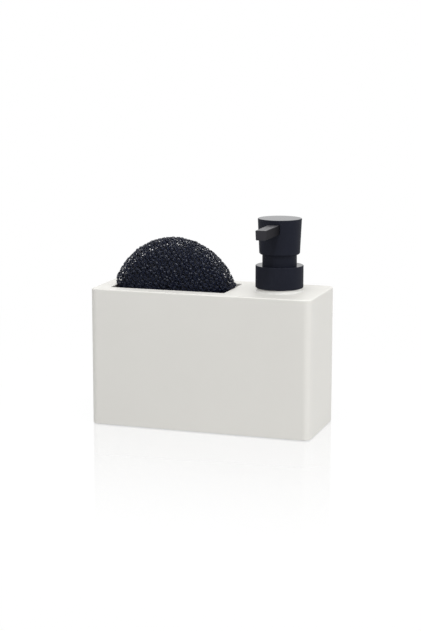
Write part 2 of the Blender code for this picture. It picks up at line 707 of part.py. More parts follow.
def make_dip_tube(material, deck):
    """The tube down to the base, cut at a slant so that it can't seal itself on the plate."""
    bore = DIP_TUBE_RADIUS - DIP_TUBE_WALL
    top = NIPPLE_TOP - SEAT_GAP
    tip = PLATE_TOP + DIP_TUBE_STANDOFF - BODY_HEIGHT
    profile = [(bore, top), (DIP_TUBE_RADIUS, top), (DIP_TUBE_RADIUS, tip), (bore, tip)]
    tube = add_mesh("dip_tube", turn(profile), material, deck)
    reach = DIP_TUBE_RADIUS + OVERRUN
    rise = reach * math.tan(DIP_TUBE_SLANT)
    middle = tip + DIP_TUBE_RADIUS * math.tan(DIP_TUBE_SLANT)
    square = round_rectangle(2 * reach, 2 * reach, 0)
    below = at_height(square, tip - OVERRUN)
    slanted = [(x, y, middle + rise * x / reach) for x, y in square]
    cut(tube, add_mesh("slant_cutter", loft([below, slanted]), None, deck))
    return tube


def spout_section(y, top_width, bottom_width, margin=0):
    """The spout's cross-section at one place along it, with its edges eased."""
    half_top = top_width / 2 + margin
    half_bottom = bottom_width / 2 + margin
    top = SPOUT_TOP + margin
    bottom = SPOUT_BOTTOM - margin
    ease = SPOUT_EDGE_CHAMFER
    right = [
        (half_bottom - ease, bottom),
        (half_bottom, bottom + ease),
        (half_top, top - ease),
        (half_top - ease, top),
    ]
    left = [(-x, z) for x, z in reversed(right)]
    return [(x, y, z) for x, z in right + left]


def spout_passage(start, end):
    """The straight passage that clears the spout's root, for the shell and the core."""
    narrow = SPOUT_WIDTH - SPOUT_DRAFT
    return loft(
        [
            spout_section(start, SPOUT_WIDTH, narrow, FIT_GAP),
            spout_section(end, SPOUT_WIDTH, narrow, FIT_GAP),
        ]
    )


def make_head_shell(material, deck):
    """The turned cap: a cone that widens upwards, with a window for the spout."""
    bottom_radius = HEAD_BOTTOM_DIAMETER / 2
    top_radius = HEAD_TOP_DIAMETER / 2
    profile = [
        (0, HEAD_TOP),
        (top_radius - HEAD_TOP_CHAMFER, HEAD_TOP),
        (top_radius, HEAD_TOP - HEAD_TOP_CHAMFER),
        (bottom_radius, HEAD_BOTTOM + HEAD_FOOT_CHAMFER),
        (bottom_radius - HEAD_FOOT_CHAMFER, HEAD_BOTTOM),
        (HEAD_BORE_RADIUS, HEAD_BOTTOM),
        (HEAD_BORE_RADIUS, HEAD_ROOF),
        (0, HEAD_ROOF),
    ]
    shell = add_mesh("head_shell", turn(profile, ROUND_STEPS), material, deck)
    window = spout_passage(-top_radius - OVERRUN, OVERRUN - HEAD_BORE_RADIUS)
    cut(shell, add_mesh("window_cutter", window, None, deck))
    return shell


def make_head_core(material, deck):
    """The insert: a socket on the stem, a stop pin over the outlet ball, and the duct forward."""
    outer = HEAD_BORE_RADIUS - FIT_GAP
    socket_bore = STEM_RADIUS + FIT_GAP
    socket = socket_bore + SOCKET_WALL
    step = STEM_TOP + SEAT_GAP
    chamber_top = SPOUT_Z + SPOUT_BORE / 2
    pin = STOP_PIN_DIAMETER / 2
    profile = [
        (0, CORE_TOP),
        (outer, CORE_TOP),
        (outer, CORE_BOTTOM),
        (socket, CORE_BOTTOM),
        (socket, SOCKET_BOTTOM),
        (socket_bore, SOCKET_BOTTOM),
        (socket_bore, step),
        (OUTLET_CHAMBER_RADIUS, step),
        (OUTLET_CHAMBER_RADIUS, chamber_top),
        (pin, chamber_top),
        (pin, STOP_PIN_BOTTOM),
        (0, STOP_PIN_BOTTOM),
    ]
    core = add_mesh("head_core", turn(profile), material, deck)
    pocket = spout_passage(-outer - OVERRUN, FIT_GAP - SPOUT_ROOT)
    duct_end = (pin + OUTLET_CHAMBER_RADIUS) / 2
    duct = rod((0, -SPOUT_ROOT - FIT_GAP, SPOUT_Z), (0, -duct_end, SPOUT_Z), SPOUT_BORE / 2)
    cut(
        core,
        add_mesh("pocket_cutter", pocket, None, deck),
        add_mesh("duct_cutter", duct, None, deck),
    )
    return core


def make_spout(material, deck):
    """A bar that narrows to its closed tip, drilled along, with its outlet facing down."""
    shell_radius = HEAD_TOP_DIAMETER / 2
    sections = (
        (-SPOUT_ROOT, SPOUT_WIDTH),
        (-shell_radius, SPOUT_WIDTH),
        (-SPOUT_REACH, SPOUT_TIP_WIDTH),
    )
    shape = loft([spout_section(y, width, width - SPOUT_DRAFT) for y, width in sections])
    spout = add_mesh("spout", shape, material, deck)
    bore_end = SPOUT_TIP_WALL - SPOUT_REACH
    bore = rod((0, OVERRUN - SPOUT_ROOT, SPOUT_Z), (0, bore_end, SPOUT_Z), SPOUT_BORE / 2)
    outlet_y = bore_end + SPOUT_BORE / 2
    outlet = rod(
        (0, outlet_y, SPOUT_BOTTOM - OVERRUN), (0, outlet_y, SPOUT_Z), OUTLET_BORE / 2
    )
    cut(
        spout,
        add_mesh("bore_cutter", bore, None, deck),
        add_mesh("outlet_cutter", outlet, None, deck),
    )
    return spout


def scourer_section(height):
    """The pad's outline at one height, squeezed between the compartment's end walls."""
    height_share = (height - SCOURER_CENTRE) / (SCOURER_HEIGHT / 2)
    half_width = SCOURER_WIDTH / 2 * math.sqrt(1 - height_share**2)
    above_mouth = max(height - COMPARTMENT_MOUTH - SEAT_GAP, 0)
    room = COMPARTMENT_LENGTH / 2 - SEAT_GAP + above_mouth * BULGE_SLOPE
    squeeze = min(1, room / half_width)
    middle = -SCOURER_LEAN * min(1, above_mouth / LEAN_HEIGHT)
    front = []
    for step in range(SCOURER_STEPS + 1):
        x = half_width * math.sin(math.pi * (step / SCOURER_STEPS - 1 / 2))
        reach_share = min(math.hypot(2 * x / SCOURER_WIDTH, height_share), 1)
        fill = (1 - reach_share**SCOURER_FULLNESS) ** (1 / SCOURER_FULLNESS)
        front.append((middle + x * squeeze, -SCOURER_THICKNESS / 2 * fill, height))
    back = [(x, -y, z) for x, y, z in reversed(front[1:-1])]
    return front + back


def make_scourer(material):
    """The round pad on edge: it sags flat on the floor, is squeezed below and bulges above."""
    levels = []
    for level in range(SCOURER_LEVELS):
        angle = math.pi * level / (SCOURER_LEVELS - 1 / 2)
        levels.append(SEAT_GAP + (SCOURER_TOP - SEAT_GAP) * (1 - math.cos(angle)) / 2)
    mouth = COMPARTMENT_MOUTH + SEAT_GAP
    levels = [level for level in levels if abs(level - mouth) > BULGE_STEP]
    levels += [mouth, mouth + BULGE_STEP]
    pad = loft([scourer_section(level) for level in sorted(levels)])
    place = (COMPARTMENT_X, 0, COMPARTMENT_FLOOR_HEIGHT)
    return add_mesh("scourer", pad, material, None, place)


def main():
    clear_scene()
    white = make_material("white_satin", (0.72, 0.71, 0.68), 0.45)
    pale = make_material("pale_plastic", (0.78, 0.78, 0.76), 0.5)
    rubber = make_material("soft_rubber", (0.12, 0.12, 0.12), 0.8)
    black = make_material("black_anodised", (0.016, 0.017, 0.022), 0.35, 0.6)
    clear = make_material("milky_plastic", (0.6, 0.62, 0.62), 0.4)
    steel = make_material("spring_steel", (0.56, 0.56, 0.55), 0.3, 1.0)
    mesh_black = make_material("knitted_black", (0.02, 0.021, 0.025), 0.4)

    deck = add_object("pump_axis", None, None, None, (PUMP_X, 0, BODY_HEIGHT))
    make_housing(white)
    make_base_plate(white)
    make_base_seal(rubber)
    make_base_pad(rubber)
    make_neck_insert(pale, deck)
    make_neck_gasket(rubber, deck)
    make_collar(black, deck)
    make_closure_nut(pale, deck)
    make_pump_cylinder(clear, deck)
    make_stem_guide(pale, deck)
    make_stem(clear, deck)
    make_piston(clear, deck)
    make_return_spring(steel, deck)
    make_ball_cage(clear, deck)
    add_mesh("inlet_ball", ball(BALL_RADIUS), steel, deck, (0, 0, INLET_BALL_Z))
    add_mesh("outlet_ball", ball(OUTLET_BALL_RADIUS), steel, deck, (0, 0, OUTLET_BALL_Z))
    make_dip_tube(clear, deck)
    make_head_shell(black, deck)
    make_head_core(pale, deck)
    make_spout(black, deck)
    make_scourer(mesh_black)


main()
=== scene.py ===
"""Looks for the soap dispenser: materials, a knitted scourer, threads, camera and light."""

import math

import bmesh
import bpy
import numpy as np
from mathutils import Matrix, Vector


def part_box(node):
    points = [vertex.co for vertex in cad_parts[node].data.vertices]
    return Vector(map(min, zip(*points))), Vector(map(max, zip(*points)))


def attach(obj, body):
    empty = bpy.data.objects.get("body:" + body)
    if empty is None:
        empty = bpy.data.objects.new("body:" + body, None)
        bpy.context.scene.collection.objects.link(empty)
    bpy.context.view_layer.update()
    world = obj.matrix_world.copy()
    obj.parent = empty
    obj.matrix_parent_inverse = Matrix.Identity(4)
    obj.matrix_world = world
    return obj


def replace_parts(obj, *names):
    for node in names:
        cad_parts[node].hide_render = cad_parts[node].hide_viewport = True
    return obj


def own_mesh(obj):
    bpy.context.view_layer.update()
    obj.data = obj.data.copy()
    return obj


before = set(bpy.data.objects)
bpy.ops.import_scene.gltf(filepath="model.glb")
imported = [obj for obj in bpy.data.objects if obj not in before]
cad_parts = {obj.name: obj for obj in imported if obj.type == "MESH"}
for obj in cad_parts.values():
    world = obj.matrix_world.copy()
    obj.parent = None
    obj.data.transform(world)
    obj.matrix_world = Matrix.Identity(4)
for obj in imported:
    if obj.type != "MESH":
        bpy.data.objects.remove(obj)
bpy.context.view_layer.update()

# Camera
CAMERA_PLACE = (0.327309, -0.983899, 0.260741)
CAMERA_YAW = math.radians(18.48)
CAMERA_PITCH = math.radians(10.29)
CAMERA_LENS = 90.67
CAMERA_SENSOR = 36

# Light; a lamp with mirrored False doesn't show in shiny faces
WORLD_STRENGTH = 0.46
LAMP_TARGET = (0, 0, 0.08)
LAMPS = {
    "key": {"place": (0.05, -0.35, 1.25), "size": 1.0, "energy": 10.7},
    "side": {"place": (1.20, -0.15, 0.30), "size": 0.5, "energy": 4.8, "mirrored": False},
    "fill": {"place": (-0.95, 0.95, 0.22), "size": 0.8, "energy": 5.2, "mirrored": False},
    "glint": {"place": (0.25, -0.75, 0.95), "size": 0.09, "energy": 3.5},
    "back_glint": {"place": (0.00, 0.65, 1.00), "size": 0.07, "energy": 0.6},
}

# Floor, with a shadow and a reflection that fade away from the dispenser's footprint
FLOOR_REACH = 8.0
BOUNCE_ALBEDO = 0.62
SEEN_ALBEDO = 0.86
SHADOW_SHARE = 0.10
SHADOW_REACH = 0.40
REFLECTION_SHARE = 1.0
REFLECTION_REACH = 0.25
FLOOR_IOR = 1.45
REFLECTION_ROUGHNESS = 0.03
FOOTPRINT_HALVES = (0.075, 0.03075)

# Noise in the materials: its fineness, and the span that most of its values lie in
PATCH_DETAIL = 3.0
GRAIN_DETAIL = 4.0
NOISE_ROUGHNESS = 0.55
NOISE_LOW = 0.3
NOISE_HIGH = 0.7

# Upward part of a face's normal, where the face starts to count as level and where it is level
LEVEL_START = 0.7
LEVEL_FULL = 0.97

# Where a colour Mix node keeps its two colours and the mix of them
MIX_A, MIX_B, MIX_RESULT = 6, 7, 2

# Finishes, which make_material describes
FINISHES = {
    "housing_white": {
        "tones": ((0.655, 0.645, 0.612), (0.668, 0.658, 0.625)),
        "patch_scale": 22,
        "roughness": (0.46, 0.54),
        "grain_scale": 2600,
        "grain_depth": 0.00002,
    },
    "pale_plastic": {
        "tones": ((0.60, 0.60, 0.58), (0.64, 0.64, 0.62)),
        "patch_scale": 60,
        "roughness": (0.42, 0.5),
        "grain_scale": 3000,
        "grain_depth": 0.00002,
    },
    # Whiter plastic than the housing, made lighter still as painted light against the shade
    # under the collar
    "neck_white_and_painted_light": {
        "tones": ((0.73, 0.725, 0.70), (0.75, 0.745, 0.72)),
        "patch_scale": 60,
        "roughness": (0.40, 0.48),
        "grain_scale": 3000,
        "grain_depth": 0.00002,
    },
    "seal_rubber": {
        "tones": ((0.030, 0.030, 0.030), (0.045, 0.045, 0.045)),
        "patch_scale": 90,
        "roughness": (0.7, 0.85),
        "grain_scale": 1800,
        "grain_depth": 0.00012,
    },
    "black_anodised": {
        "tones": ((0.0062, 0.0074, 0.0140), (0.0074, 0.0088, 0.0160)),
        "patch_scale": 120,
        "roughness": (0.66, 0.72),
        "grain_scale": 5200,
        "grain_depth": 0.000006,
        "shader_values": {"IOR": 1.26},
        "level_roughness": 0.10,
    },
    "black_spout": {
        "tones": ((0.0390, 0.0385, 0.0440), (0.0430, 0.0425, 0.0480)),
        "patch_scale": 140,
        "roughness": (0.45, 0.52),
        "grain_scale": 5200,
        "grain_depth": 0.000006,
        "shader_values": {"IOR": 2.10, "Specular Tint": (0.55, 0.55, 0.55, 1.0)},
        "level_roughness": 0.36,
        "metal_walls": True,
    },
    "milky_plastic": {
        "tones": ((0.50, 0.53, 0.54), (0.56, 0.58, 0.58)),
        "patch_scale": 70,
        "roughness": (0.25, 0.35),
        "grain_scale": 2500,
        "grain_depth": 0.00001,
        "shader_values": {
            "Subsurface Weight": 0.3,
            "Subsurface Radius": (0.002, 0.002, 0.002),
            "Subsurface Scale": 0.3,
        },
    },
    "spring_steel": {
        "tones": ((0.50, 0.50, 0.49), (0.60, 0.60, 0.58)),
        "patch_scale": 900,
        "roughness": (0.18, 0.3),
        "grain_scale": 4000,
        "grain_depth": 0.000004,
        "shader_values": {"Metallic": 1.0},
    },
    "knitted_black": {
        "tones": ((0.0012, 0.0022, 0.0120), (0.0028, 0.0046, 0.0170)),
        "patch_scale": 500,
        "roughness": (0.24, 0.36),
        "grain_scale": 2600,
        "grain_depth": 0.00003,
        "shader_values": {"IOR": 1.30, "Specular Tint": (0.80, 0.88, 1.0, 1.0)},
        # Painted highlight colour that shows on the loops' crests
        "highlight_paint": (0.090, 0.094, 0.110),
    },
    "knitted_black_inner": {
        "tones": ((0.0080, 0.0100, 0.0210), (0.0110, 0.0130, 0.0260)),
        "patch_scale": 500,
        "roughness": (0.24, 0.36),
        "grain_scale": 2600,
        "grain_depth": 0.00003,
        "shader_values": {"IOR": 1.32, "Specular Tint": (0.80, 0.88, 1.0, 1.0)},
    },
    "knitted_black_core": {
        "tones": ((0.0080, 0.0095, 0.0170), (0.0150, 0.0175, 0.0280)),
        "patch_scale": 420,
        "roughness": (0.5, 0.8),
        "grain_scale": 900,
        "grain_depth": 0.0006,
    },
}

# Finish of each of the frame's nodes that no piece replaces
PAINTED = {
    "housing_white": ("housing", "base_plate"),
    "pale_plastic": ("stem_guide", "head_core"),
    "seal_rubber": ("base_seal", "base_pad", "neck_gasket"),
    "black_anodised": ("collar", "head_shell"),
    "black_spout": ("spout",),
    "milky_plastic": ("pump_cylinder", "stem", "piston", "ball_cage", "dip_tube"),
    "spring_steel": ("inlet_ball", "outlet_ball"),
}

# Scourer's form, a little fuller than that of the CAD solid that it stands for
PAD_CENTRE_X = -0.0251
PAD_CENTRE_Y = -0.0008
PAD_HALF_WIDTH = 0.0414
PAD_HALF_HEIGHT = 0.0392
PAD_HALF_THICKNESS = 0.0185
PAD_FULLNESS = 3.2
PAD_STEPS = 3000
PAD_ROOM = 0.0392
MOUTH_HEIGHT = 0.0918
BULGE_SLOPE = 1.8
PAD_WAVE = 0.011
PAD_WAVES = 4
PAD_WAVE_TURN = math.radians(10)
PAD_LEAN = 0.0016
LEAN_HEIGHT = 0.0045
PAD_HEIGHT_SHARE = 0.999

# Knit of flat black yarn in loops
YARN_HALF_WIDTH = 0.00031
YARN_HALF_THICKNESS = 0.00015
KNIT_WALE = 0.0033
KNIT_COURSE = 0.0024
KNIT_OVERLAP = 0.001
LOOP_SHARE = 0.74
LOOP_SWAY = 0.08
LOOP_DEPTH = 0.00048
LOOP_CROSSING = 0.00038
LOOSENESS = 0.12

# The two layers of knit on each side: their depth, coarseness and fineness of mesh
OUTER_KNIT = {"lift": -0.0005, "size": 1.0, "sides": 6, "loop_points": 14}
INNER_KNIT = {"lift": -0.0026, "size": 1.25, "sides": 4, "loop_points": 10}

# The knit's unevenness: for each kind, how many waves and the longest and shortest of them
SWAY_WAVES = (9, 0.026, 0.006)
SWAY_REACH = 0.0009
SWELL_WAVES = (9, 0.016, 0.0045)
SWELL_HEIGHT = 0.00015
RIM_SWELL_HEIGHT = 0.00010
RIM_START = 0.72
TWIST_WAVES = (12, 0.006, 0.0025)
TWIST_ANGLE = 0.45

# Painted highlights on the loops' crests: how high above the mouth they grow to full, how their
# shine spreads, and how much of it stays below the mouth
HIGHLIGHT_RISE_HEIGHT = 0.016
SHINE_RANGE = (0.2, 1.4)
SHINE_POWER = 3
SHELTERED_SHINE = 0.15
CREST_HIGHLIGHT_SHARPNESS = 12

# Core that the knit lies on, which draws in at the rim
CORE_DEPTH = 0.0040
CORE_RIM_DEPTH = 0.0068
CORE_RIM = 0.35
CORE_RINGS = 72
CORE_SEGMENTS = 144
CORE_SEED = 5
CORE_WAVES = (10, 0.012, 0.004)
CORE_LUMP = 0.0005

# Neck and nut, with their threads
PUMP_AXIS_X = 0.0458
DECK_HEIGHT = 0.0915
NECK_BORE_RADIUS = 0.01045
NECK_RADIUS = 0.01285
NECK_FLANGE_RADIUS = 0.0147
NECK_FLANGE_EDGE = 0.0004
NECK_FLANGE_FOOT = 0.0012
FLANGE_HEIGHT = 0.0022
NUT_HOLE_RADIUS = 0.00875
NUT_BORE_RADIUS = 0.0131
NUT_WEB = 0.0014
THREAD_PITCH = 0.0032
THREAD_DEPTH = 0.0006
THREAD_RUN_OUT = THREAD_PITCH / 3
THREAD_ROW = 0.0002
THREAD_STEPS = 120
RIDGE_STEEPNESS = 1.5
RIDGE_WIDENING = 0.2
ROUND_STEPS = 6
SHARP_ANGLE = 40

# Return spring
SPRING_WIRE = 0.0009
SPRING_TURNS = 8
SPRING_END_PITCH = 0.0014
SPRING_TURN_POINTS = 32
SPRING_SIDES = 12

# Keeps a division or a power off zero
LEAST_REACH = 1e-6
LEAST_LENGTH = 1e-9


def nodes_of(material):
    tree = material.node_tree
    return tree.nodes, tree.links


def add_node(nodes, kind, **values):
    node = nodes.new(kind)
    for name, value in values.items():
        setattr(node, name, value)
    return node


def noise_node(nodes, links, coordinates, scale, detail):
    node = nodes.new("ShaderNodeTexNoise")
    node.inputs["Scale"].default_value = scale
    node.inputs["Detail"].default_value = detail
    node.inputs["Roughness"].default_value = NOISE_ROUGHNESS
    links.new(coordinates, node.inputs["Vector"])
    return node


def ranged(nodes, links, value, low, high, start=NOISE_LOW, end=NOISE_HIGH):
    """Maps a range of a value to two limits."""
    node = nodes.new("ShaderNodeMapRange")
    node.inputs["From Min"].default_value = start
    node.inputs["From Max"].default_value = end
    node.inputs["To Min"].default_value = low
    node.inputs["To Max"].default_value = high
    links.new(value, node.inputs["Value"])
    return node


def mixed_colour(nodes, links, factor, first, second):
    node = nodes.new("ShaderNodeMix")
    node.data_type = "RGBA"
    node.inputs[MIX_A].default_value = (*first, 1)
    node.inputs[MIX_B].default_value = (*second, 1)
    links.new(factor, node.inputs["Factor"])
    return node


def make_material(
    name,
    tones,
    patch_scale,
    roughness,
    grain_scale,
    grain_depth,
    shader_values=(),
    level_roughness=None,
    highlight_paint=None,
    metal_walls=False,
):
    """Colour in soft patches between two tones, and a fine grain in roughness and relief.

    The scales say how fine the patches and the grain are, and grain_depth how deep the grain
    is. With level_roughness, the faces that look straight up are as rough as it says. A
    painted highlight colour, if given, shows where the mesh's own crest highlight values are
    high. With metal_walls, all but those level faces are metallic.
    """
    material = bpy.data.materials.new(name)
    material.use_nodes = True
    nodes, links = nodes_of(material)
    shader = nodes["Principled BSDF"]
    texture = nodes.new("ShaderNodeTexCoord")
    place = texture.outputs["Object"]
    dark, light = tones
    patches = noise_node(nodes, links, place, patch_scale, PATCH_DETAIL)
    factor = ranged(nodes, links, patches.outputs["Fac"], 0, 1).outputs["Result"]
    colour = mixed_colour(nodes, links, factor, dark, light)
    # Painted highlight on the loops' crests, mixed over the yarn's colour
    if highlight_paint is not None:
        painted_crest_highlight = add_node(nodes, "ShaderNodeAttribute", attribute_name="painted_crest_highlight")
        yarn = colour
        colour = mixed_colour(nodes, links, painted_crest_highlight.outputs["Fac"], dark, highlight_paint)
        links.new(yarn.outputs[MIX_RESULT], colour.inputs[MIX_A])
    links.new(colour.outputs[MIX_RESULT], shader.inputs["Base Color"])
    grain = noise_node(nodes, links, place, grain_scale, GRAIN_DETAIL)
    smoothest, roughest = roughness
    rough = ranged(nodes, links, grain.outputs["Fac"], smoothest, roughest)
    if level_roughness is not None:
        split = nodes.new("ShaderNodeSeparateXYZ")
        links.new(texture.outputs["Normal"], split.inputs["Vector"])
        upward = split.outputs["Z"]
        if metal_walls:
            metal = ranged(nodes, links, upward, 1, 0, LEVEL_START, LEVEL_FULL)
            links.new(metal.outputs["Result"], shader.inputs["Metallic"])
        for socket, wall in (("To Min", smoothest), ("To Max", roughest)):
            finish = ranged(nodes, links, upward, wall, level_roughness, LEVEL_START, LEVEL_FULL)
            links.new(finish.outputs["Result"], rough.inputs[socket])
    links.new(rough.outputs["Result"], shader.inputs["Roughness"])
    bump = nodes.new("ShaderNodeBump")
    bump.inputs["Distance"].default_value = grain_depth
    links.new(grain.outputs["Fac"], bump.inputs["Height"])
    links.new(bump.outputs["Normal"], shader.inputs["Normal"])
    for socket, value in dict(shader_values).items():
        shader.inputs[socket].default_value = value
    return material


def add_piece(name, mesh, body, material):
    piece = bpy.data.objects.new(name, mesh)
    bpy.context.scene.collection.objects.link(piece)
    mesh.materials.append(material)
    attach(piece, body)
    return piece


def mesh_of(name, points, faces):
    mesh = bpy.data.meshes.new(name)
    mesh.from_pydata(points.tolist(), [], faces)
    mesh.shade_smooth()
    return mesh


def face_outwards(mesh):
    shape = bmesh.new()
    shape.from_mesh(mesh)
    bmesh.ops.recalc_face_normals(shape, faces=shape.faces)
    shape.to_mesh(mesh)
    shape.free()


def angles_round(steps):
    return 2 * math.pi * np.arange(steps) / steps


def grid_faces(first, rows, columns):
    """Quads between rings of points, each ring closed on itself."""
    index = first + np.arange(rows * columns).reshape(rows, columns)
    after = np.roll(index, -1, axis=1)
    quads = np.stack([index[:-1], after[:-1], after[1:], index[1:]], axis=-1)
    return quads.reshape(-1, 4)


def make_camera():
    data = bpy.data.cameras.new("camera")
    data.lens = CAMERA_LENS
    data.sensor_width = CAMERA_SENSOR
    camera = bpy.data.objects.new("camera", data)
    camera.location = CAMERA_PLACE
    camera.rotation_euler = (math.pi / 2 - CAMERA_PITCH, 0, CAMERA_YAW)
    bpy.context.scene.collection.objects.link(camera)
    bpy.context.scene.camera = camera


def make_lamp(name, place, size, energy, mirrored=True):
    data = bpy.data.lights.new(name, "AREA")
    data.shape = "DISK"
    data.size = size
    data.energy = energy
    lamp = bpy.data.objects.new(name, data)
    lamp.location = place
    aim = Vector(LAMP_TARGET) - Vector(place)
    lamp.rotation_euler = aim.to_track_quat("-Z", "Y").to_euler()
    lamp.visible_glossy = mirrored
    bpy.context.scene.collection.objects.link(lamp)


def seen_directly(nodes, links):
    """1 for camera, glossy and transmission rays, else 0."""
    path = nodes.new("ShaderNodeLightPath")
    total = path.outputs["Is Camera Ray"]
    for name in ("Is Glossy Ray", "Is Transmission Ray"):
        either = add_node(nodes, "ShaderNodeMath", operation="MAXIMUM")
        links.new(total, either.inputs[0])
        links.new(path.outputs[name], either.inputs[1])
        total = either.outputs["Value"]
    return total


def mixed_shader(nodes, links, factor, first, second):
    mix = nodes.new("ShaderNodeMixShader")
    links.new(factor, mix.inputs["Fac"])
    links.new(first.outputs[0], mix.inputs[1])
    links.new(second.outputs[0], mix.inputs[2])
    return mix


def make_world():
    """Plain soft light all round, in front of a white background."""
    world = bpy.data.worlds.new("studio")
    bpy.context.scene.world = world
    world.use_nodes = True
    nodes, links = world.node_tree.nodes, world.node_tree.links
    light = nodes["Background"]
    light.inputs["Color"].default_value = (1, 1, 1, 1)
    light.inputs["Strength"].default_value = WORLD_STRENGTH
    white = nodes.new("ShaderNodeBackground")
    white.inputs["Color"].default_value = (1, 1, 1, 1)
    white.inputs["Strength"].default_value = 1
    mix = mixed_shader(nodes, links, seen_directly(nodes, links), light, white)
    links.new(mix.outputs[0], nodes["World Output"].inputs["Surface"])


def distance_from_foot(nodes, links):
    """How far a place on the floor is from the dispenser's footprint."""
    place = nodes.new("ShaderNodeNewGeometry").outputs["Position"]
    split = nodes.new("ShaderNodeSeparateXYZ")
    links.new(place, split.inputs["Vector"])
    squares = []
    for axis, half in zip("XY", FOOTPRINT_HALVES):
        size = add_node(nodes, "ShaderNodeMath", operation="ABSOLUTE")
        links.new(split.outputs[axis], size.inputs[0])
        beyond = add_node(nodes, "ShaderNodeMath", operation="SUBTRACT", use_clamp=True)
        beyond.inputs[1].default_value = half
        links.new(size.outputs["Value"], beyond.inputs[0])
        square = add_node(nodes, "ShaderNodeMath", operation="POWER")
        square.inputs[1].default_value = 2
        links.new(beyond.outputs["Value"], square.inputs[0])
        squares.append(square.outputs["Value"])
    total = add_node(nodes, "ShaderNodeMath", operation="ADD")
    links.new(squares[0], total.inputs[0])
    links.new(squares[1], total.inputs[1])
    root = add_node(nodes, "ShaderNodeMath", operation="SQRT")
    links.new(total.outputs["Value"], root.inputs[0])
    return root.outputs["Value"]


def matt_floor(nodes, albedo):
    matt = nodes.new("ShaderNodeBsdfDiffuse")
    matt.inputs["Color"].default_value = (albedo, albedo, albedo, 1)
    return matt


def faded(nodes, links, distance, share, reach):
    """A share at the foot that falls to nothing at a distance."""
    fade = ranged(nodes, links, distance, share, 0, 0, reach)
    fade.interpolation_type = "SMOOTHSTEP"
    return fade.outputs["Result"]


def make_floor():
    """A white floor that keeps a soft shadow and a faint reflection near the dispenser."""
    mesh = bpy.data.meshes.new("floor")
    corners = [(-1, -1), (1, -1), (1, 1), (-1, 1)]
    points = [(x * FLOOR_REACH, y * FLOOR_REACH, 0) for x, y in corners]
    mesh.from_pydata(points, [], [(0, 1, 2, 3)])
    floor = bpy.data.objects.new("floor", mesh)
    bpy.context.scene.collection.objects.link(floor)
    material = bpy.data.materials.new("floor_white")
    material.use_nodes = True
    mesh.materials.append(material)
    nodes, links = nodes_of(material)
    nodes.remove(nodes["Principled BSDF"])
    white = nodes.new("ShaderNodeEmission")
    white.inputs["Strength"].default_value = 1
    distance = distance_from_foot(nodes, links)
    shadow = faded(nodes, links, distance, SHADOW_SHARE, SHADOW_REACH)
    shadowed = mixed_shader(nodes, links, shadow, white, matt_floor(nodes, SEEN_ALBEDO))
    mirror = nodes.new("ShaderNodeBsdfGlossy")
    mirror.inputs["Color"].default_value = (1, 1, 1, 1)
    mirror.inputs["Roughness"].default_value = REFLECTION_ROUGHNESS
    gloss = nodes.new("ShaderNodeFresnel")
    gloss.inputs["IOR"].default_value = FLOOR_IOR
    near = faded(nodes, links, distance, REFLECTION_SHARE, REFLECTION_REACH)
    reflection = add_node(nodes, "ShaderNodeMath", operation="MULTIPLY")
    links.new(gloss.outputs["Fac"], reflection.inputs[0])
    links.new(near, reflection.inputs[1])
    reflecting = mixed_shader(nodes, links, reflection.outputs["Value"], shadowed, mirror)
    bounce = matt_floor(nodes, BOUNCE_ALBEDO)
    mix = mixed_shader(nodes, links, seen_directly(nodes, links), bounce, reflecting)
    links.new(mix.outputs[0], nodes["Material Output"].inputs["Surface"])


class Pad:
    """The scourer's round form, with places on it measured over its surface."""

    def __init__(self):
        low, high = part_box("scourer")
        self.floor = low[2]
        self.centre_z = high[2] - PAD_HALF_HEIGHT
        turn = np.linspace(0, math.pi / 2, PAD_STEPS)
        power = 2 / PAD_FULLNESS
        self.reach = np.sin(turn) ** power
        self.side = np.cos(turn) ** power
        mean = (PAD_HALF_WIDTH + PAD_HALF_HEIGHT) / 2
        steps = np.hypot(np.diff(self.reach) * mean, np.diff(self.side) * PAD_HALF_THICKNESS)
        self.along = np.concatenate([[0], np.cumsum(steps)])
        self.length = self.along[-1]

    def place(self, u, v, lift, side):
        """Points over the pad: u and v are measured over its surface from a face's middle."""
        walked = np.hypot(u, v)
        angle = np.arctan2(v, u)
        past = walked > self.length
        folded = np.where(past, 2 * self.length - walked, walked)
        reach = np.interp(folded, self.along, self.reach)
        depth = np.interp(folded, self.along, self.side) * np.where(past, -1, 1)
        uneven = 1 + PAD_WAVE * np.cos(PAD_WAVES * (angle - PAD_WAVE_TURN))
        x = PAD_HALF_WIDTH * reach * uneven * np.cos(angle)
        z = PAD_HALF_HEIGHT * reach * uneven * np.sin(angle)
        y = -side * PAD_HALF_THICKNESS * depth
        radial = np.maximum(reach, LEAST_REACH) ** (PAD_FULLNESS - 2)
        across = np.sign(depth) * np.abs(depth) ** (PAD_FULLNESS - 1)
        normal = np.stack(
            [
                radial * x / PAD_HALF_WIDTH**2,
                -side * across / PAD_HALF_THICKNESS,
                radial * z / PAD_HALF_HEIGHT**2,
            ],
            axis=-1,
        )
        normal /= np.linalg.norm(normal, axis=-1, keepdims=True)
        points = np.stack([x, y, z], axis=-1) + normal * np.expand_dims(lift, -1)
        return self.squeezed(points), normal

    def squeezed(self, points):
        """Presses the round form between the compartment's ends, with a bulge above them."""
        x, y, z = points[..., 0], points[..., 1], points[..., 2] + self.centre_z
        height_share = (z - self.centre_z) / PAD_HALF_HEIGHT
        height_share = np.clip(height_share, -PAD_HEIGHT_SHARE, PAD_HEIGHT_SHARE)
        half = PAD_HALF_WIDTH * np.sqrt(1 - height_share**2)
        above = np.maximum(z - MOUTH_HEIGHT, 0)
        squeeze = np.minimum(1, (PAD_ROOM + above * BULGE_SLOPE) / half)
        limit = PAD_ROOM - YARN_HALF_WIDTH + above * BULGE_SLOPE
        x = np.clip(x * squeeze, -limit, limit)
        middle = PAD_CENTRE_X - PAD_LEAN * np.minimum(1, above / LEAN_HEIGHT)
        floor = self.floor + YARN_HALF_WIDTH
        return np.stack([middle + x, PAD_CENTRE_Y + y, np.maximum(z, floor)], axis=-1)


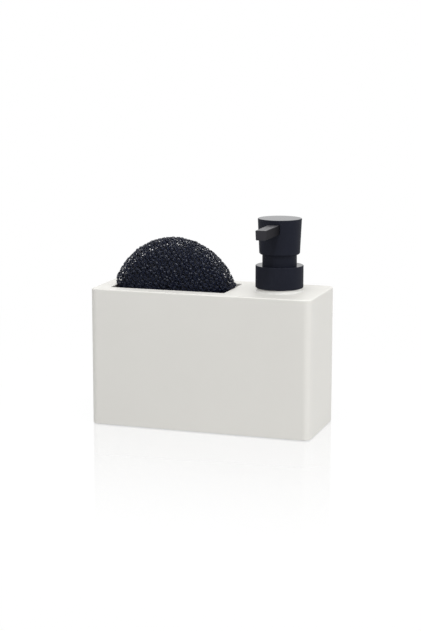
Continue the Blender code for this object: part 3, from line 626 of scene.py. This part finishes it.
def waves(rng, count, longest, shortest):
    """Smooth noise over a plane, as a sum of seeded waves."""
    turns = rng.uniform(0, 2 * math.pi, count)
    lengths = np.exp(rng.uniform(math.log(shortest), math.log(longest), count))
    phases = rng.uniform(0, 2 * math.pi, count)

    def value(u, v):
        total = np.zeros_like(u)
        for turn, length, phase in zip(turns, lengths, phases):
            along = u * math.cos(turn) + v * math.sin(turn)
            total += np.sin(2 * math.pi * along / length + phase)
        return total / math.sqrt(count)

    return value


def strand(points, normals, twist, half_width, half_thickness, sides, first):
    """Vertices and faces of a flat strand along points, turned by twist about its own length.

    The faces count their vertices from first on, and close both ends.
    """
    tangent = np.gradient(points, axis=0)
    tangent /= np.linalg.norm(tangent, axis=1, keepdims=True)
    across = np.cross(tangent, normals)
    across /= np.maximum(np.linalg.norm(across, axis=1, keepdims=True), LEAST_LENGTH)
    up = np.cross(across, tangent)
    turn_cos, turn_sin = np.cos(twist)[:, None], np.sin(twist)[:, None]
    flat = across * turn_cos + up * turn_sin
    thin = up * turn_cos - across * turn_sin
    angles = angles_round(sides)
    section = (
        flat[:, None, :] * np.cos(angles)[None, :, None] * half_width
        + thin[:, None, :] * np.sin(angles)[None, :, None] * half_thickness
    )
    vertices = points[:, None, :] + section
    faces = grid_faces(first, len(points), sides)[:, ::-1].tolist()
    start = list(range(first, first + sides))
    end = [index + (len(points) - 1) * sides for index in reversed(start)]
    return vertices.reshape(-1, 3), faces + [start, end]


def knit(pad, side, seed, turn, lift, size, sides, loop_points):
    """One knitted face of the pad: courses of loops, each hooked through the next course.

    Gives the strands' vertices and faces, and how much painted highlight each vertex has.
    """
    rng = np.random.default_rng(seed)
    sway_u, sway_v = waves(rng, *SWAY_WAVES), waves(rng, *SWAY_WAVES)
    swell, twisting = waves(rng, *SWELL_WAVES), waves(rng, *TWIST_WAVES)
    wale, course = KNIT_WALE * size, KNIT_COURSE * size
    limit = pad.length + KNIT_OVERLAP
    all_points, all_faces, all_highlights, first = [], [], [], 0
    rows = int(limit / course)
    for row in range(-rows, rows + 1):
        v_row = row * course
        half_loops = int(math.sqrt(max(limit**2 - v_row**2, 0)) / wale)
        if half_loops < 1:
            continue
        loops = 2 * half_loops + 1
        count = 2 * half_loops * loop_points + 1
        phase = np.linspace(-half_loops * 2 * math.pi, half_loops * 2 * math.pi, count)
        loop = (phase / (2 * math.pi) + half_loops).astype(int)
        loose = rng.normal(0, LOOSENESS, loops)[loop]
        shift = (row % 2) / 2
        u = wale * (phase / (2 * math.pi) + shift + LOOP_SWAY * np.sin(2 * phase))
        v = v_row + course * LOOP_SHARE * (1 + loose) * np.cos(phase)
        out = LOOP_DEPTH * np.cos(2 * phase) + LOOP_CROSSING * np.sin(phase) + lift
        walked = np.hypot(u, v) / pad.length
        rim = np.clip((walked - RIM_START) / (1 - RIM_START), 0, 1)
        out = out + (SWELL_HEIGHT + RIM_SWELL_HEIGHT * rim) * swell(u, v)
        moved_u = u + SWAY_REACH * sway_u(u, v)
        moved_v = v + SWAY_REACH * sway_v(u, v)
        turned_u = moved_u * math.cos(turn) - moved_v * math.sin(turn)
        turned_v = moved_u * math.sin(turn) + moved_v * math.cos(turn)
        points, normals = pad.place(turned_u, turned_v, out, side)
        # Painted highlight on the crests: brighter higher above the mouth, and random from loop
        # to loop
        highlight_by_height = np.clip((points[:, 2] - MOUTH_HEIGHT) / HIGHLIGHT_RISE_HEIGHT, 0, 1)
        shine = (rng.uniform(*SHINE_RANGE, loops) ** SHINE_POWER)[loop]
        shine = shine * (SHELTERED_SHINE + (1 - SHELTERED_SHINE) * highlight_by_height)
        painted_crest_highlight = np.clip(np.cos(phase), 0, 1) ** CREST_HIGHLIGHT_SHARPNESS
        twist = TWIST_ANGLE * twisting(u, v)
        vertices, faces = strand(
            points, normals, twist, YARN_HALF_WIDTH, YARN_HALF_THICKNESS, sides, first
        )
        first += len(vertices)
        all_points.append(vertices)
        all_faces += faces
        all_highlights.append(np.repeat(shine * painted_crest_highlight, sides))
    return np.concatenate(all_points), all_faces, np.concatenate(all_highlights)


def make_core(pad, material):
    """The dark, lumpy inside of the pad, which the knit lies on."""
    rng = np.random.default_rng(CORE_SEED)
    lump = waves(rng, *CORE_WAVES)
    rings = np.linspace(0, 2 * pad.length, CORE_RINGS)
    walked, angle = np.meshgrid(rings[1:-1], angles_round(CORE_SEGMENTS), indexing="ij")
    u, v = walked * np.cos(angle), walked * np.sin(angle)
    near_rim = np.clip(1 - np.abs(walked / pad.length - 1) / CORE_RIM, 0, 1)
    depth = CORE_DEPTH + (CORE_RIM_DEPTH - CORE_DEPTH) * near_rim
    points, _ = pad.place(u, v, CORE_LUMP * lump(u, v) - depth, 1)
    poles, _ = pad.place(rings[[0, -1]], np.zeros(2), np.full(2, -CORE_DEPTH), 1)
    count = len(rings) - 2
    faces = grid_faces(0, count, CORE_SEGMENTS).tolist()
    near, far = count * CORE_SEGMENTS, count * CORE_SEGMENTS + 1
    outermost = near - CORE_SEGMENTS
    for step in range(CORE_SEGMENTS):
        after = (step + 1) % CORE_SEGMENTS
        faces.append([near, after, step])
        faces.append([far, outermost + step, outermost + after])
    mesh = mesh_of("scourer_core", np.concatenate([points.reshape(-1, 3), poles]), faces)
    face_outwards(mesh)
    return add_piece("scourer_core", mesh, "scourer_pad", material)


def make_scourer(yarn, inner_yarn, core_material):
    """The pad's core with two layers of knit on each side, each with its own seed and turn."""
    pad = Pad()
    core = make_core(pad, core_material)
    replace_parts(core, "scourer")
    front, back = 1, -1
    layers = (
        ("outer_front", yarn, OUTER_KNIT, front, 11, 0.0),
        ("outer_back", yarn, OUTER_KNIT, back, 12, 0.2),
        ("inner_front", inner_yarn, INNER_KNIT, front, 13, 0.9),
        ("inner_back", inner_yarn, INNER_KNIT, back, 14, 1.1),
    )
    for layer, material, form, side, seed, turn in layers:
        name = f"scourer_knit_{layer}"
        points, faces, painted_highlights = knit(pad, side, seed, turn, **form)
        mesh = mesh_of(name, points, faces)
        # Each vertex's painted highlight, which the yarn's material reads
        mesh.attributes.new("painted_crest_highlight", "FLOAT", "POINT").data.foreach_set("value", painted_highlights)
        piece = add_piece(name, mesh, "scourer_pad", material)


def ring(radius, height):
    """Points round the pump's axis at one height; the radius may differ from point to point."""
    angles = angles_round(THREAD_STEPS)
    x = PUMP_AXIS_X + radius * np.cos(angles)
    return np.stack([x, radius * np.sin(angles), np.full(THREAD_STEPS, height)], axis=-1)


def turned_rings(profile):
    """One ring for each radius and height."""
    return [ring(radius, height) for radius, height in profile]


def threaded_rings(crest_radius, root_radius, bottom, top):
    """Rings from the top down, with a helical ridge between the two radii."""
    angles = angles_round(THREAD_STEPS)
    rings = []
    for height in np.linspace(top, bottom, int((top - bottom) / THREAD_ROW)):
        phase = (height - bottom) / THREAD_PITCH - angles / (2 * math.pi)
        ridge = np.clip(RIDGE_STEEPNESS * np.cos(2 * math.pi * phase) + RIDGE_WIDENING, 0, 1)
        from_end = min(height - bottom, top - height)
        fade = min(1, from_end / THREAD_RUN_OUT)
        rings.append(ring(root_radius + (crest_radius - root_radius) * ridge * fade, height))
    return rings


def arc(centre_radius, centre_height, size, start, end):
    """Points of a round edge, from one angle to another in degrees."""
    places = []
    for step in range(ROUND_STEPS + 1):
        angle = math.radians(start + (end - start) * step / ROUND_STEPS)
        radius = centre_radius + size * math.cos(angle)
        places.append((radius, centre_height + size * math.sin(angle)))
    return places


def make_turned(name, rings, body, material, replaced):
    """A piece through rings of points, closed from the last ring back to the first."""
    points = np.concatenate(rings)
    faces = grid_faces(0, len(rings), THREAD_STEPS).tolist()
    last = (len(rings) - 1) * THREAD_STEPS
    for step in range(THREAD_STEPS):
        after = (step + 1) % THREAD_STEPS
        faces.append([last + step, last + after, after, step])
    mesh = mesh_of(name, points, faces)
    face_outwards(mesh)
    mesh.set_sharp_from_angle(angle=math.radians(SHARP_ANGLE))
    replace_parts(add_piece(name, mesh, body, material), replaced)


def make_neck(material):
    """The threaded neck, with a rounded flange whose foot runs out onto the deck."""
    low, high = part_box("neck_insert")
    flange_top = DECK_HEIGHT + FLANGE_HEIGHT
    root = NECK_RADIUS - THREAD_DEPTH
    edge, foot = NECK_FLANGE_EDGE, NECK_FLANGE_FOOT
    rings = turned_rings([(NECK_BORE_RADIUS, high[2])])
    rings += threaded_rings(NECK_RADIUS, root, flange_top, high[2])
    rings += turned_rings(
        arc(NECK_FLANGE_RADIUS - edge, flange_top - edge, edge, 90, 0)
        + arc(NECK_FLANGE_RADIUS + foot, DECK_HEIGHT + foot, foot, 180, 270)
        + [(NECK_RADIUS, DECK_HEIGHT), (NECK_RADIUS, low[2]), (NECK_BORE_RADIUS, low[2])]
    )
    make_turned("threaded_neck", rings, "dispenser", material, "neck_insert")


def make_nut(material):
    """The closure nut, with a thread cut in its bore."""
    low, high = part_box("closure_nut")
    outer = (high[0] - low[0]) / 2
    roof = high[2] - NUT_WEB
    groove = NUT_BORE_RADIUS + THREAD_DEPTH
    rings = turned_rings([(NUT_HOLE_RADIUS, high[2]), (outer, high[2]), (outer, low[2])])
    rings += reversed(threaded_rings(NUT_BORE_RADIUS, groove, low[2], roof))
    rings += turned_rings([(NUT_HOLE_RADIUS, roof)])
    make_turned("threaded_nut", rings, "closure", material, "closure_nut")


def make_spring(material):
    """The return spring, with closed ends."""
    low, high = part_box("return_spring")
    length = high[2] - low[2]
    span = length - SPRING_WIRE
    turns = np.linspace(0, SPRING_TURNS, SPRING_TURNS * SPRING_TURN_POINTS + 1)
    turns_at = (0, 1, SPRING_TURNS - 1, SPRING_TURNS)
    heights_at = (0, SPRING_END_PITCH, span - SPRING_END_PITCH, span)
    angles = 2 * math.pi * turns
    outwards = np.stack([np.cos(angles), np.sin(angles), np.zeros(len(turns))], axis=-1)
    points = outwards * ((high[0] - low[0]) - SPRING_WIRE) / 2
    points[:, 0] += PUMP_AXIS_X
    points[:, 2] = low[2] + SPRING_WIRE / 2 + np.interp(turns, turns_at, heights_at)
    wire = SPRING_WIRE / 2
    untwisted = np.zeros(len(turns))
    vertices, faces = strand(points, outwards, untwisted, wire, wire, SPRING_SIDES, 0)
    mesh = mesh_of("coiled_spring", vertices, faces)
    spring = add_piece("coiled_spring", mesh, "pump", material)
    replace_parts(spring, "return_spring")
    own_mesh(spring)


def paint(material, *nodes):
    """Gives a finish to nodes of the frame, whose shapes stay as they are."""
    for name in nodes:
        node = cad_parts[name]
        node.data.materials.clear()
        node.data.materials.append(material)


def main():
    bpy.context.scene.view_settings.view_transform = "Standard"
    make_camera()
    make_world()
    make_floor()
    for name, values in LAMPS.items():
        make_lamp(name, **values)
    finish = {name: make_material(name, **values) for name, values in FINISHES.items()}
    for name, nodes in PAINTED.items():
        paint(finish[name], *nodes)
    make_neck(finish["neck_white_and_painted_light"])
    make_nut(finish["pale_plastic"])
    make_spring(finish["spring_steel"])
    make_scourer(
        finish["knitted_black"], finish["knitted_black_inner"], finish["knitted_black_core"]
    )


main()
